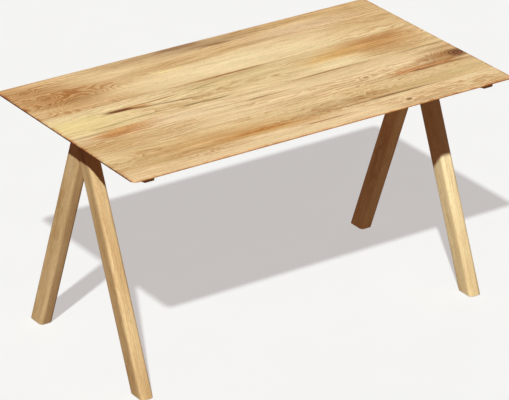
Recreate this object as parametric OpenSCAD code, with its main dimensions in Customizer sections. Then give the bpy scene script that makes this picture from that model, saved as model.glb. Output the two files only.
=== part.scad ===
// Trestle table: an edge-glued solid-wood top screwed down on two A-frame trestles.
// Frame: origin on the floor under the middle of the top, +X along the length, +Y to the rear, +Z up.
// Each trestle is a head rail with two splayed legs, mitred together and tenoned into it.

/* [Table top] */
// Length of the top
top_length = 1380; // [1150:10:1660]
// Width of the top
top_width = 800; // [660:10:960]
// Height of the top surface above the floor
table_height = 765; // [630:5:920]
// Thickness of the boards in the middle of the top
top_thickness = 20; // [17:0.5:28]
// How far in from the rim the underside bevel starts
bevel_width = 30; // [25:1:36]
// Radius of the round rim
rim_radius = 4; // [3:0.5:6]
// Radius of the four corners of the top, in plan
corner_radius = 20; // [10:1:30]
// Relative widths of the glued boards, counted from the rear
board_shares = [277, 167, 151, 107, 98]; // each from 60 to 330

/* [Trestles] */
// From the end of the top to the middle of the leg
trestle_inset = 74; // [60:1:150]
// From the long rim of the top to the middle of the foot
foot_inset = 98; // [70:1:130]
// Thickness of a leg, along the table
leg_thickness = 44; // [36:1:54]
// Width of a leg, square to its length
leg_width = 65; // [54:1:78]
// Rounding of the four long edges of a leg
leg_edge_radius = 12; // [6:1:15]
// From the middle of the trestle to the middle of a leg, where it meets the rail
leg_head_offset = 16; // [12:0.5:20]

/* [Head rail] */
// Width of the rail, along the table
rail_width = 36; // [30:1:44]
// Height of the rail between its tapered ends
rail_height = 30; // [27:1:36]
// Height of the rail at its two tips
rail_tip_height = 9; // [7:0.5:12]
// Length of each tapered end
rail_taper = 120; // [90:5:145]
// From the long rim of the top to the tip of the rail
rail_end_inset = 30; // [30:1:60]

/* [Joints in the wood] */
// Thickness of a leg tenon, along the table
tenon_thickness = 14; // [10:1:18]
// Width of a leg tenon, across the table
tenon_width = 28; // [20:1:32]
// Height of a leg tenon
tenon_height = 20; // [15:1:23]
// From the mitre to the near cheek of the tenon
tenon_offset = 10; // [6:1:12]
// Diameter of a mitre dowel
dowel_d = 10; // [8:0.5:12]
// Length of a mitre dowel
dowel_length = 44; // [36:1:54]
// Distance between the two dowels of a mitre, along the table
dowel_spacing = 18; // [15:1:22]
// Room for glue around a tenon or a dowel
glue_gap = 0.1; // [0.05:0.05:0.2]
// Room for glue beyond the end of a tenon or a dowel
glue_end_gap = 1; // [0.5:0.5:2]

/* [Fixing to the top] */
// From the middle of the trestle to the inner pair of screws
inner_screw_offset = 140; // [100:5:155]
// From the start of the rail's taper to the outer pair of screws
outer_screw_inset = 20; // [16:1:40]
// Wood left in the rail between the washer and the top
screw_grip = 20; // [17:0.5:22]
// Thread diameter of the screws
screw_d = 6; // [5:1:7]
// Head diameter of the screws
screw_head_d = 10; // [8.5:0.5:12]
// Head height of the screws
screw_head_h = 5; // [4:0.5:6]
// Width across flats of the hexagon socket
socket_flats = 5; // [4:0.5:6]
// Depth of the hexagon socket
socket_depth = 3; // [2:0.5:3.5]
// Outer diameter of the washers
washer_d = 14; // [12.5:0.5:15]
// Thickness of the washers
washer_thickness = 1.6; // [1:0.1:2]
// Room around a screw in its washer and in its hole through the rail
screw_clearance = 0.5; // [0.3:0.1:0.8]
// Extra length of the outer holes, which lets the top shrink and swell
slot_travel = 6; // [4:0.5:8]
// Outer diameter of the threaded inserts
insert_d = 10; // [9:0.5:12]
// Length of the threaded inserts
insert_length = 13; // [11:0.5:14]
// Air left above the insert in its blind hole
insert_end_gap = 1.5; // [1:0.5:2]
// Running room between screw and insert, and between insert and wood
thread_gap = 0.05; // [0.02:0.01:0.1]

/* [Feet] */
// Diameter of the glide under each leg
glide_d = 30; // [25:1:36]
// Thickness of the glide
glide_thickness = 2.5; // [2:0.5:5]
// Diameter of the glide's nail
nail_d = 2.5; // [2:0.1:3]
// Length of the nail inside the leg
nail_length = 16; // [13:1:20]
// Diameter of the nail's head
nail_head_d = 7; // [6:0.5:9]
// Height of the nail's head
nail_head_h = 1.2; // [1:0.1:1.4]
// How far the nail's head is sunk above the underside of the glide
nail_sink = 0.5; // [0.3:0.1:0.6]

/* [Hidden] */
$fn = 64;

LEFT = -1;
RIGHT = 1;
REAR = 1;
FRONT = -1;
BEYOND = 50; // how far cutting solids run past what they cut
SKIM = 0.01; // lets a cutting solid start just outside a face
rim_flats = 10; // short flats round the rim's nose

// Heights above the floor
underside_z = table_height - top_thickness;
rail_z = underside_z - rail_height;
seat_z = underside_z - screw_grip;
foot_z = glide_thickness;

// The boards: each one's share of the width, and where its rear and front edges fall
share_sum = board_shares * [for (s = board_shares) 1];
function shares_before(i) = i <= 0 ? 0 : board_shares[i - 1] + shares_before(i - 1);
function board_edge_y(i) = top_width * (0.5 - shares_before(i) / share_sum);

// The legs: each centre line runs from the middle of its foot up to the rail
foot_y = top_width / 2 - foot_inset;
splay = atan((foot_y - leg_head_offset) / rail_z);
leg_half_slice = leg_width / 2 / cos(splay);
mitre_z = (foot_y - leg_half_slice) / tan(splay);
dowel_z = (mitre_z + rail_z) / 2;
trestle_x = top_length / 2 - trestle_inset;

rail_length = top_width - 2 * rail_end_inset;
outer_screw_offset = rail_length / 2 - rail_taper - outer_screw_inset;
screw_offsets = [for (s = [REAR, FRONT]) each [s * inner_screw_offset, s * outer_screw_offset]];
screw_length = screw_grip + washer_thickness + insert_length;

// ---------- shapes that repeat ----------

// A rectangle centred on the origin with rounded corners
module rounded_rectangle(size, r) {
    square([size[0] - 2 * r, size[1]], center = true);
    square([size[0], size[1] - 2 * r], center = true);
    for (x = [-1, 1], y = [-1, 1])
        translate([x * (size[0] / 2 - r), y * (size[1] / 2 - r)])
            circle(r);
}

// Section through the top: flat above, a round rim in short flats, and a bevel below that runs
// smoothly into the rim. The surface is at 0.
module top_section(span) {
    rim_centre = [span / 2 - rim_radius, -rim_radius];
    bevel_end = [span / 2 - bevel_width, -top_thickness];
    reach = bevel_end - rim_centre;
    low_angle = atan2(reach[1], reach[0]) + acos(rim_radius / norm(reach));
    right_side = [
        for (i = [0:rim_flats])
            let (a = 90 + (low_angle - 90) * i / rim_flats)
                rim_centre + rim_radius * [cos(a), sin(a)],
        bevel_end
    ];
    left_side = [for (i = [len(right_side) - 1:-1:0]) [-right_side[i][0], right_side[i][1]]];
    polygon(concat(right_side, left_side));
}

// The whole top as one solid, before it is divided into boards
module whole_top() {
    translate([0, 0, table_height])
        intersection() {
            translate([0, 0, -top_thickness])
                linear_extrude(top_thickness)
                    rounded_rectangle([top_length, top_width], corner_radius);
            rotate([90, 0, 90])
                linear_extrude(top_length, center = true)
                    top_section(top_width);
            rotate([90, 0, 0])
                linear_extrude(top_width, center = true)
                    top_section(top_length);
        }
}

// Puts its children at every screw of one trestle, at height z
module at_screws(side, z) {
    for (y = screw_offsets)
        translate([side * trestle_x, y, z])
            children();
}

// A box between two corners
module block(low, high) {
    translate(low)
        cube(high - low);
}

// ---------- the top ----------

module top_board(i) {
    color(i % 2 == 0 ? "burlywood" : "tan")
        difference() {
            intersection() {
                whole_top();
                block([-top_length / 2 - BEYOND, board_edge_y(i + 1), underside_z - BEYOND],
                      [top_length / 2 + BEYOND, board_edge_y(i), table_height + BEYOND]);
            }
            for (side = [LEFT, RIGHT])
                at_screws(side, underside_z - SKIM)
                    cylinder(d = insert_d + 2 * thread_gap, h = insert_length + insert_end_gap + SKIM);
        }
}

// ---------- the trestles ----------

// The tenon of one leg, grown by gap all round and by end_gap at its top
module tenon(face, gap, end_gap) {
    translate([0, face * (tenon_offset + tenon_width / 2), rail_z - SKIM])
        linear_extrude(tenon_height + end_gap + SKIM)
            square([tenon_thickness + 2 * gap, tenon_width + 2 * gap], center = true);
}

module rail(side) {
    half = rail_length / 2;
    color("peru")
        difference() {
            translate([side * trestle_x, 0, underside_z])
                rotate([90, 0, 90])
                    linear_extrude(rail_width, center = true)
                        polygon([
                            [-half, 0],
                            [-half, -rail_tip_height],
                            [-half + rail_taper, -rail_height],
                            [half - rail_taper, -rail_height],
                            [half, -rail_tip_height],
                            [half, 0]
                        ]);
            for (face = [REAR, FRONT])
                translate([side * trestle_x, 0, 0])
                    tenon(face, glue_gap, glue_end_gap);
            rail_holes(side);
        }
}

// Clearance holes and counterbores: round near the middle, slotted near the tips
module rail_holes(side) {
    hole_r = screw_d / 2 + screw_clearance;
    bore_r = washer_d / 2 + screw_clearance;
    for (face = [REAR, FRONT])
        translate([side * trestle_x, face * inner_screw_offset, 0]) {
            translate([0, 0, seat_z - SKIM])
                cylinder(r = hole_r, h = screw_grip + BEYOND);
            translate([0, 0, seat_z - BEYOND])
                cylinder(r = bore_r, h = BEYOND);
        }
    for (face = [REAR, FRONT])
        translate([side * trestle_x, face * outer_screw_offset, 0]) {
            translate([0, 0, seat_z - SKIM])
                slot(hole_r, screw_grip + BEYOND);
            translate([0, 0, seat_z - BEYOND])
                slot(bore_r, BEYOND);
        }
}

// An upright slot that runs across the table
module slot(r, h) {
    for (end = [-1, 1])
        translate([0, end * slot_travel / 2, 0])
            cylinder(r = r, h = h);
    translate([-r, -slot_travel / 2, 0])
        cube([2 * r, slot_travel, h]);
}

module leg(side, face) {
    color("burlywood")
        translate([side * trestle_x, 0, 0])
            difference() {
                union() {
                    intersection() {
                        translate([0, face * foot_y, 0])
                            rotate([face * splay, 0, 0])
                                translate([0, 0, -leg_width])
                                    linear_extrude(rail_z / cos(splay) + 3 * leg_width)
                                        rounded_rectangle([leg_thickness, leg_width], leg_edge_radius);
                        half_space(face);
                    }
                    tenon(face, 0, 0);
                }
                mitre_dowel_pair(dowel_d / 2 + glue_gap, dowel_length / 2 + glue_end_gap);
                translate([0, face * foot_y, foot_z - SKIM])
                    cylinder(r = nail_d / 2 + thread_gap, h = nail_length + glue_end_gap + SKIM);
            }
}

// The room one leg may fill: its own side of the mitre, from the glide to the rail
module half_space(face) {
    reach = top_width;
    block([-leg_thickness, face > 0 ? 0 : -reach, foot_z],
          [leg_thickness, face > 0 ? reach : 0, rail_z]);
}

// Two level dowels across the mitre of a trestle that stands at the origin
module mitre_dowel_pair(r, half_length) {
    for (x = [-1, 1])
        translate([x * dowel_spacing / 2, 0, dowel_z])
            rotate([90, 0, 0])
                cylinder(r = r, h = 2 * half_length, center = true);
}

module mitre_dowels(side) {
    color("wheat")
        translate([side * trestle_x, 0, 0])
            mitre_dowel_pair(dowel_d / 2, dowel_length / 2);
}

// ---------- fixings ----------

module rail_screws(side) {
    color("dimgray")
        at_screws(side, seat_z - washer_thickness - screw_head_h)
            difference() {
                union() {
                    cylinder(d = screw_head_d, h = screw_head_h);
                    cylinder(d = screw_d, h = screw_head_h + screw_length);
                }
                translate([0, 0, -SKIM])
                    cylinder(d = socket_flats / cos(30), h = socket_depth + SKIM, $fn = 6);
            }
}

module washers(side) {
    color("silver")
        at_screws(side, seat_z - washer_thickness)
            difference() {
                cylinder(d = washer_d, h = washer_thickness);
                translate([0, 0, -SKIM])
                    cylinder(r = screw_d / 2 + screw_clearance, h = washer_thickness + 2 * SKIM);
            }
}

module threaded_inserts(side) {
    color("goldenrod")
        at_screws(side, underside_z)
            difference() {
                cylinder(d = insert_d, h = insert_length);
                translate([0, 0, -SKIM])
                    cylinder(r = screw_d / 2 + thread_gap, h = insert_length + 2 * SKIM);
            }
}

// ---------- feet ----------

module glide(side, face) {
    color("saddlebrown")
        translate([side * trestle_x, face * foot_y, 0])
            difference() {
                cylinder(d = glide_d, h = glide_thickness);
                translate([0, 0, -SKIM])
                    cylinder(r = nail_d / 2 + thread_gap, h = glide_thickness + 2 * SKIM);
                translate([0, 0, -SKIM])
                    cylinder(r = nail_head_d / 2 + thread_gap, h = nail_sink + nail_head_h + SKIM);
            }
}

module glide_nails() {
    color("silver")
        for (side = [LEFT, RIGHT], face = [REAR, FRONT])
            translate([side * trestle_x, face * foot_y, nail_sink]) {
                cylinder(d = nail_head_d, h = nail_head_h);
                cylinder(d = nail_d, h = foot_z - nail_sink + nail_length);
            }
}

// ---------- one line per node ----------

top_board(0);  // top_board_1
top_board(1);  // top_board_2
top_board(2);  // top_board_3
top_board(3);  // top_board_4
top_board(4);  // top_board_5
rail(LEFT);  // left_rail
leg(LEFT, REAR);  // left_rear_leg
leg(LEFT, FRONT);  // left_front_leg
mitre_dowels(LEFT);  // left_mitre_dowels
rail_screws(LEFT);  // left_rail_screws
washers(LEFT);  // left_washers
threaded_inserts(LEFT);  // left_threaded_inserts
rail(RIGHT);  // right_rail
leg(RIGHT, REAR);  // right_rear_leg
leg(RIGHT, FRONT);  // right_front_leg
mitre_dowels(RIGHT);  // right_mitre_dowels
rail_screws(RIGHT);  // right_rail_screws
washers(RIGHT);  // right_washers
threaded_inserts(RIGHT);  // right_threaded_inserts
glide(LEFT, REAR);  // left_rear_glide
glide(LEFT, FRONT);  // left_front_glide
glide(RIGHT, REAR);  // right_rear_glide
glide(RIGHT, FRONT);  // right_front_glide
glide_nails();
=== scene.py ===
"""The looks of a trestle table: an edge-glued wooden top on two A-frame trestles."""

import logging
import math
from dataclasses import dataclass, field
from enum import Enum
from functools import partial
from typing import Iterable, Mapping, Sequence, Union

import bmesh
import bpy
from mathutils import Matrix, Vector

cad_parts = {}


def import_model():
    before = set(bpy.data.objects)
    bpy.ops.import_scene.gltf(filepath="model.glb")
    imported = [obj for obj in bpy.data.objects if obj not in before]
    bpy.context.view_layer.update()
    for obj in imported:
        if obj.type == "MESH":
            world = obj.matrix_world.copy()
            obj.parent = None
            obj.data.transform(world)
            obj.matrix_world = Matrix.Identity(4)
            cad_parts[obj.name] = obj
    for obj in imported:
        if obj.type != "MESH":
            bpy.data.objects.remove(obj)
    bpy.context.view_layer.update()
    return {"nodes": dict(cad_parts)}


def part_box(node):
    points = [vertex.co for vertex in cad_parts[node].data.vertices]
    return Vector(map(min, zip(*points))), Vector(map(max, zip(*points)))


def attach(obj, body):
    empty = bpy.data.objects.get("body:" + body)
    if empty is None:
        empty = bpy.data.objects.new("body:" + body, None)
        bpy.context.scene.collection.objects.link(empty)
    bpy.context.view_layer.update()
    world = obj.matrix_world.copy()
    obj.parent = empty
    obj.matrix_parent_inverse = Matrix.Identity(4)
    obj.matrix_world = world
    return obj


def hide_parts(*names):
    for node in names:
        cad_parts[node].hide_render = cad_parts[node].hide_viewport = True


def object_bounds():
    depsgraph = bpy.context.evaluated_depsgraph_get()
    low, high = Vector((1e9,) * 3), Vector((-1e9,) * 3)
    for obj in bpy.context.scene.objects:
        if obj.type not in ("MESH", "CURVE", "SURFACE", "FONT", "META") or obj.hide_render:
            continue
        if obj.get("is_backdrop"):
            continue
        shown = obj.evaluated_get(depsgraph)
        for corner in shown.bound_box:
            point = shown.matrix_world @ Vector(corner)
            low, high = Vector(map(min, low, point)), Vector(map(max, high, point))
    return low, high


LOG = logging.getLogger("trestle_table")
BODY = "root"
ALONG = Vector((1, 0, 0))
ACROSS = Vector((0, 1, 0))

Colour = tuple[float, float, float]
Point = tuple[float, float, float]
Mesh = bmesh.types.BMesh
Edge = bmesh.types.BMEdge
Material = bpy.types.Material
Thing = bpy.types.Object
Box = tuple[Vector, Vector]
Term = Union["Wire", float, Sequence[float]]


# ---- choices


class Side(Enum):
    """Which trestle, by the sign of its place along the table."""

    LEFT = -1
    RIGHT = 1


class Face(Enum):
    """Which leg of a trestle, by the sign of its place across the table."""

    FRONT = -1
    REAR = 1


@dataclass(frozen=True)
class Brush:
    """How a patch of colour ends: how soft and frayed it is, and how far it follows the grain."""

    softness: float
    fray: float
    follow: float


class MarkKind(Enum):
    """The shapes that colour takes in a board."""

    CLOUD = Brush(0.90, 0.9, 1.0)
    PATCH = Brush(0.50, 1.3, 1.0)
    STREAK = Brush(0.40, 1.7, 0.6)
    SEAM = Brush(0.60, 0.6, 0.0)


def tone(red: int, green: int, blue: int) -> Colour:
    """Turns a colour as seen on a screen into the shader's linear one.

    Args:
        red: Red, from 0 to 255.
        green: Green, from 0 to 255.
        blue: Blue, from 0 to 255.

    Returns:
        The linear colour.
    """

    def linear(level: int) -> float:
        """Undoes the screen's curve for one channel."""
        share = level / 255
        return share / 12.92 if share <= 0.04045 else ((share + 0.055) / 1.055) ** 2.4

    return linear(red), linear(green), linear(blue)


# ---- shader writing


class Wire:
    """A value, vector or colour inside a shader, which Python's operators work on."""

    def __init__(self, shade: "Shade", socket: bpy.types.NodeSocket) -> None:
        """Wraps one output socket of a shader's node."""
        self.shade = shade
        self.socket = socket

    @property
    def is_vector(self) -> bool:
        """Whether this is a vector or a colour rather than one number."""
        return self.socket.type in {"VECTOR", "RGBA"}

    def math(self, operation: str, *terms: Term) -> "Wire":
        """Adds one Math or Vector Math node.

        Args:
            operation: The node's operation.
            terms: What the node takes, in its sockets' order.

        Returns:
            The node's result.
        """
        vector = any(isinstance(t, Wire) and t.is_vector for t in terms)
        kind = "ShaderNodeVectorMath" if vector else "ShaderNodeMath"
        sockets = {}
        for place, term in enumerate(terms):
            wide = vector and isinstance(term, (int, float))
            sockets[place] = (term, term, term) if wide else term
        return self.shade.node(kind, {"operation": operation}, sockets)

    def __add__(self, other: Term) -> "Wire":
        """Adds."""
        return self.math("ADD", self, other)

    __radd__ = __add__

    def __sub__(self, other: Term) -> "Wire":
        """Subtracts."""
        return self.math("SUBTRACT", self, other)

    def __rsub__(self, other: Term) -> "Wire":
        """Subtracts this from the other."""
        return self.math("SUBTRACT", other, self)

    def __mul__(self, other: Term) -> "Wire":
        """Multiplies."""
        return self.math("MULTIPLY", self, other)

    __rmul__ = __mul__

    def __truediv__(self, other: Term) -> "Wire":
        """Divides."""
        return self.math("DIVIDE", self, other)

    def __rtruediv__(self, other: Term) -> "Wire":
        """Divides the other by this."""
        return self.math("DIVIDE", other, self)

    def __abs__(self) -> "Wire":
        """Drops the sign."""
        return self.math("ABSOLUTE", self)

    def sine(self) -> "Wire":
        """The sine of an angle in radians."""
        return self.math("SINE", self)

    def root(self) -> "Wire":
        """The square root."""
        return self.math("SQRT", self)

    def fraction(self) -> "Wire":
        """What is left after the whole number."""
        return self.math("FRACT", self)

    def at_least(self, other: Term) -> "Wire":
        """The larger of the two."""
        return self.math("MAXIMUM", self, other)

    def dot(self, direction: Sequence[float]) -> "Wire":
        """How far this vector reaches along a direction."""
        sockets = {0: self, 1: tuple(direction)}
        operation = {"operation": "DOT_PRODUCT"}
        return self.shade.node("ShaderNodeVectorMath", operation, sockets, "Value")

    def length(self) -> "Wire":
        """The vector's length."""
        operation = {"operation": "LENGTH"}
        return self.shade.node("ShaderNodeVectorMath", operation, {0: self}, "Value")

    def ramp(self, low: float, high: float, start: float = 0.0, end: float = 1.0) -> "Wire":
        """Eases from start to end while this value goes from low to high.

        Args:
            low: The value where the ramp starts.
            high: The value where it ends.
            start: The result at and below low.
            end: The result at and above high.

        Returns:
            The eased value.
        """
        return self.shade.node(
            "ShaderNodeMapRange",
            {"interpolation_type": "SMOOTHSTEP"},
            {"Value": self, "From Min": low, "From Max": high, "To Min": start, "To Max": end},
            "Result",
        )


class Shade:
    """One material while its nodes are being put together."""

    def __init__(self, name: str) -> None:
        """Starts an empty material of that name with its surface shader."""
        self.material = bpy.data.materials.new(name)
        self.material.use_nodes = True
        self.tree = self.material.node_tree
        self.tree.nodes.clear()
        self.surface = self.tree.nodes.new("ShaderNodeBsdfPrincipled")
        output = self.tree.nodes.new("ShaderNodeOutputMaterial")
        self.tree.links.new(self.surface.outputs["BSDF"], output.inputs["Surface"])

    def node(
        self,
        kind: str,
        settings: Mapping[str, object] | None = None,
        sockets: Mapping[Union[str, int], Term] | None = None,
        output: Union[str, int] = 0,
    ) -> Wire:
        """Adds any node.

        Args:
            kind: The node's type.
            settings: Its properties, which are set before its sockets.
            sockets: A value or a wire for each socket that isn't left as it is.
            output: Which output to hand back.

        Returns:
            That output.
        """
        node = self.tree.nodes.new(kind)
        for key, setting in (settings or {}).items():
            setattr(node, key, setting)
        for key, term in (sockets or {}).items():
            if isinstance(term, Wire):
                self.tree.links.new(term.socket, node.inputs[key])
            else:
                node.inputs[key].default_value = term
        return Wire(self, node.outputs[output])

    def place(self) -> Wire:
        """Where a point is, in the table's own frame, in metres."""
        return self.node("ShaderNodeTexCoord", output="Object")

    def split(self, vector: Wire) -> tuple[Wire, Wire, Wire]:
        """A vector's three parts."""
        parts = self.node("ShaderNodeSeparateXYZ", None, {0: vector}).socket.node.outputs
        return Wire(self, parts[0]), Wire(self, parts[1]), Wire(self, parts[2])

    def join(self, x: Term, y: Term, z: Term) -> Wire:
        """A vector of three parts."""
        return self.node("ShaderNodeCombineXYZ", None, {0: x, 1: y, 2: z})

    def noise(
        self, where: Wire, detail: float = 2.0, roughness: float = 0.5, bend: float = 0.0
    ) -> Wire:
        """Cloudy noise of scale one.

        Args:
            where: The place, already stretched to the size of the clouds.
            detail: How many finer layers it has.
            roughness: How strong the finer layers are.
            bend: How much the clouds swirl.

        Returns:
            The noise, from about 0 to 1.
        """
        return self.node(
            "ShaderNodeTexNoise",
            {"noise_dimensions": "3D"},
            {0: where, "Scale": 1.0, "Detail": detail, "Roughness": roughness, "Distortion": bend},
            "Fac",
        )

    def mix(self, share: Term, first: Term, second: Term, blend: str = "MIX") -> Wire:
        """Mixes two colours.

        Args:
            share: How much of the second there is, from 0 to 1.
            first: The first colour, as a wire or three numbers.
            second: The second colour.
            blend: The way the second is laid over the first.

        Returns:
            The mixed colour.
        """

        def paint(colour: Term) -> Term:
            """Gives a plain colour its fourth part."""
            return colour if isinstance(colour, Wire) else (*colour, 1.0)

        return self.node(
            "ShaderNodeMix",
            {"data_type": "RGBA", "blend_type": blend, "clamp_factor": True},
            {0: share, 6: paint(first), 7: paint(second)},
            2,
        )

    def finish(
        self,
        colour: Wire,
        roughness: Term,
        height: Wire | None = None,
        relief: float = 0.0003,
        **constants: float,
    ) -> Material:
        """Wires the surface up.

        Args:
            colour: The base colour.
            roughness: The roughness.
            height: The relief, from 0 to 1, if there is any.
            relief: How high the relief stands, in metres.
            constants: Sockets of the surface that are the same all over, with _ for a space.

        Returns:
            The finished material.
        """
        inputs = self.surface.inputs
        for socket, term in (("Base Color", colour), ("Roughness", roughness)):
            if isinstance(term, Wire):
                self.tree.links.new(term.socket, inputs[socket])
            else:
                inputs[socket].default_value = term
        for key, number in constants.items():
            inputs[key.replace("_", " ")].default_value = number
        if height is not None:
            sockets = {"Height": height, "Strength": 1.0, "Distance": relief}
            bump = self.node("ShaderNodeBump", None, sockets)
            self.tree.links.new(bump.socket, inputs["Normal"])
        return self.material


# ---- finishes


class Layer(Enum):
    """The layers of noise in wood.

    Each holds its waves per metre along and across the grain, its detail, roughness and bend.
    """

    SWAY = (1.5, 4.5, 1.0, 0.5, 0.0)
    RIPPLE = (8.0, 24.0, 3.0, 0.55, 0.0)
    PATCH = (3.4, 13.0, 2.0, 0.5, 0.4)
    GNARL = (11.0, 38.0, 2.0, 0.5, 0.3)
    CLOUD = (2.2, 11.0, 3.0, 0.5, 0.3)
    BAND = (2.6, 46.0, 3.0, 0.55, 0.0)
    LINE = (5.0, 140.0, 3.0, 0.6, 0.0)
    FIBRE = (26.0, 460.0, 3.0, 0.6, 0.0)
    PORE = (70.0, 1400.0, 1.0, 0.5, 0.0)
    FLECK = (13.0, 210.0, 2.0, 0.6, 0.0)

    def noise(self, grain: Wire, drift: Sequence[float]) -> Wire:
        """The layer's noise over a place in the grain, moved by the drift."""
        along, across, *character = self.value
        return grain.shade.noise(grain * (along, across, across) + drift, *character)


@dataclass(frozen=True)
class Knot:
    """The foot of a branch, which the growth rings part around."""

    middle: tuple[float, float]
    radius: float
    heart: Colour
    lift: float = 2.0
    strength: float = 0.85
    stretch: float = 1.7


@dataclass(frozen=True)
class Growth:
    """How a stem has grown: where its heart lies, and how its rings run, in metres."""

    heart_across: float
    heart_depth: float
    tilt: float = 0.0
    ring_width: float = 0.009
    wander: float = 0.07
    ripple: float = 0.012
    burl: float = 2.4
    knots: tuple[Knot, ...] = ()


@dataclass(frozen=True)
class Figure:
    """What shows on a cut face of a stem, as wires from 0 to 1 unless they are places."""

    run: Wire
    width: Wire
    bent: Wire
    late: Wire
    cloud: Wire
    fibre: Wire
    line: Wire
    band: Wire
    fleck: Wire
    patchy: Wire
    pore: Wire
    shimmer: Wire
    knots: tuple[Wire, ...]


@dataclass(frozen=True)
class Mark:
    """A patch or streak of another colour: its middle and half its size, and how it is laid."""

    kind: MarkKind
    along: float
    across: float
    half_length: float
    half_width: float
    colour: Colour
    strength: float
    turn: float = 0.0
    curl: float = 0.0
    calm: float = 0.0


# How far each seed moves the noise.
SEED_STEPS = (3.1, 7.7, 1.3)
PATCH_SHIFT = 0.7
# How far a knot pulls the rings, in its radii, and the waves of its own rings in each radius.
KNOT_PULL = 3.4
KNOT_WAVES = 15.0
# The fine rings in each year's growth, and how much they and the dark late wood show.
FINE_RINGS = 3.0
LATE_SHARE, FINE_SHARE = 0.75, 0.25
# The waves of the shimmer along the grain, across it and with the ripple.
SHIMMER_WAVES = (520.0, 160.0, 44.0)
# How much red and blue follow the light and dark of the fibres.
RED_SWING, BLUE_SWING = 0.85, 1.25
# How far fibres and late wood rise and pores sink, and how much each dulls the oil.
FIBRE_RISE, LATE_RISE, PORE_SINK = 0.3, 0.25, 0.8
FIBRE_DULL, LATE_DULL, PORE_DULL = 0.10, 0.04, 0.16


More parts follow.
